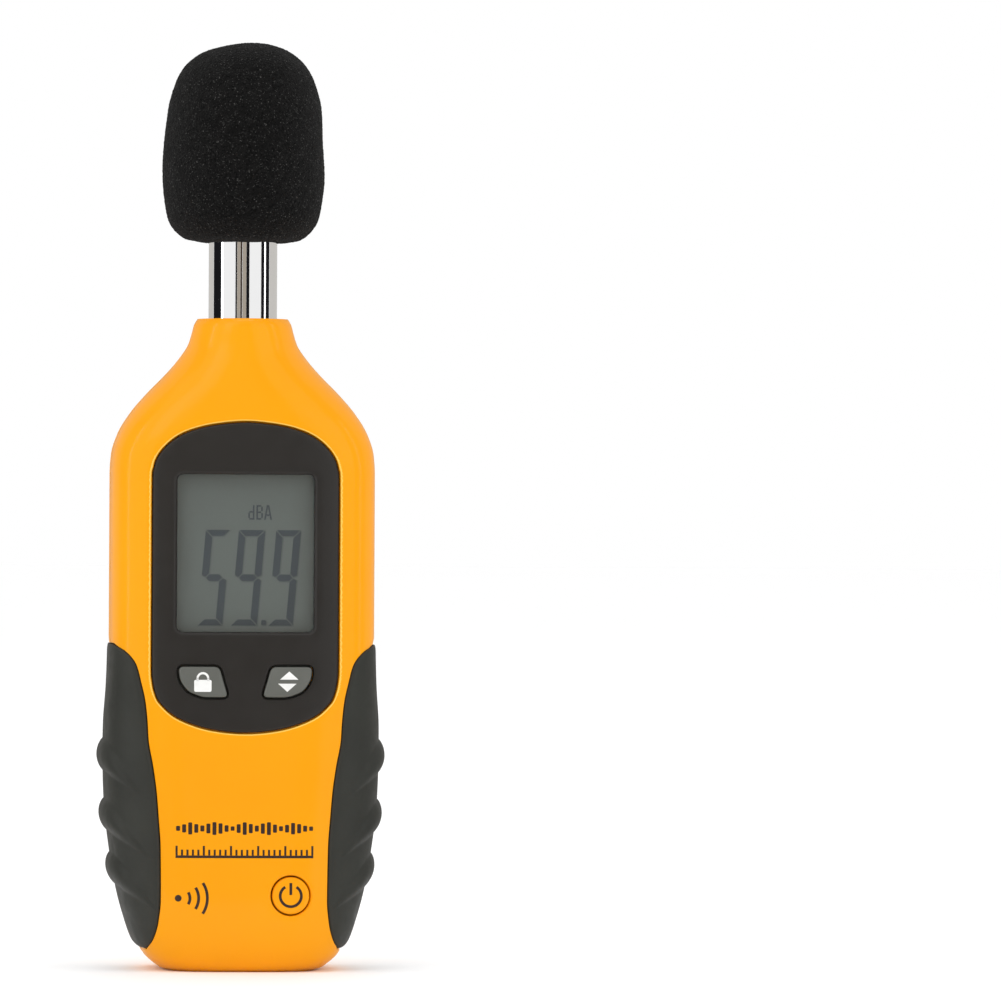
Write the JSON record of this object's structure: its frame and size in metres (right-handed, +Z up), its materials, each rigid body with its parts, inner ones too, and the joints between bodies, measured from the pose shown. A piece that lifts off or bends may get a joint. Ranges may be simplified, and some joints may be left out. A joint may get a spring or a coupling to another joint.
{
  "type": "sound level meter",
  "caption": "Hand-held digital sound level meter: two-part casing with soft grips, LCD, spring keys, battery door, microphone tube and pull-off foam windscreen.",
  "frame": {"origin": "middle of the flat base the meter stands on", "axes": "+Z up the body to the microphone, -Y out of the display, +Y out of the battery door, +X to the right of someone reading the display"},
  "size_m": [0.0534, 0.0305, 0.172],
  "materials": {
    "casing": "satin moulded ABS, fine grain",
    "grip": "soft-touch, matt",
    "display_panel": "satin",
    "window": "clear",
    "lcd": "satin polariser",
    "white_plastic": "matt",
    "key": "satin",
    "chrome": "polished plating",
    "black_plastic": "matt",
    "rubber": "matt",
    "foam": "open-cell foam",
    "pad": "closed-cell foam rubber",
    "circuit_board": "solder mask",
    "steel": "nickel plated",
    "brass": "nickel-plated, turned",
    "label": "satin film",
    "red_lead": "PVC",
    "black_lead": "PVC",
    "contact_rubber": "layered",
    "battery_jacket": "painted jacket",
    "can": "drawn can"
  },
  "bodies": {
    "casing": {"front_shell": "casing", "rear_shell": "casing", "front_grip_left": "grip", "front_grip_right": "grip", "rear_grip_left": "grip", "rear_grip_right": "grip", "display_bezel": "display_panel", "display_window": "window", "lcd_panel": "lcd", "lcd_frame": "white_plastic", "backlight": "white_plastic", "mic_tube": "chrome", "tube_collar": "black_plastic", "controller_chip": "black_plastic", "preamplifier_chip": "black_plastic", "hold_switch": "black_plastic", "maxmin_switch": "black_plastic", "power_switch": "black_plastic", "snap_connector": "black_plastic", "mic_holder": "rubber", "battery_pad": "pad", "main_board": "circuit_board", "mic_grille": "steel", "case_screw_1": "steel", "case_screw_2": "steel", "case_screw_3": "steel", "board_screw_1": "steel", "board_screw_2": "steel", "board_screw_3": "steel", "board_screw_4": "steel", "battery_stud": "steel", "battery_socket": "steel", "snap_stud": "steel", "snap_socket": "steel", "tripod_bush": "brass", "serial_label": "label", "battery_lead_red": "red_lead", "battery_lead_black": "black_lead", "mic_lead": "black_lead", "contact_strip": "contact_rubber", "battery": "battery_jacket", "filter_capacitor": "can", "crystal": "can", "mic_capsule": "can"},
    "hold_key": {"hold_button": "key", "hold_switch_plunger": "white_plastic"},
    "maxmin_key": {"maxmin_button": "key", "maxmin_switch_plunger": "white_plastic"},
    "power_key": {"power_button": "casing", "power_switch_plunger": "white_plastic"},
    "door": {"battery_door": "casing", "door_label": "label"},
    "foam_cap": {"windscreen": "foam"}
  },
  "joints": [
    {"name": "hold_press", "type": "slide", "parent": "casing", "child": "hold_key", "axis": [0, 1, 0], "range_m": [0, 0.0005], "stiffness_N_per_m": 1500, "springref_m": -0.0004},
    {"name": "maxmin_press", "type": "slide", "parent": "casing", "child": "maxmin_key", "axis": [0, 1, 0], "range_m": [0, 0.0005], "stiffness_N_per_m": 1500, "springref_m": -0.0004},
    {"name": "power_press", "type": "slide", "parent": "casing", "child": "power_key", "axis": [0, 1, 0], "range_m": [0, 0.0005], "stiffness_N_per_m": 1500, "springref_m": -0.0004},
    {"name": "door_hinge", "type": "hinge", "parent": "casing", "child": "door", "pos_m": [0, 0.0142, 0.0104], "axis": [-1, 0, 0], "range_deg": [0, 75]},
    {"name": "windscreen_pull", "type": "slide", "parent": "casing", "child": "foam_cap", "axis": [0, 0, 1], "range_m": [0, 0.03]}
  ]
}
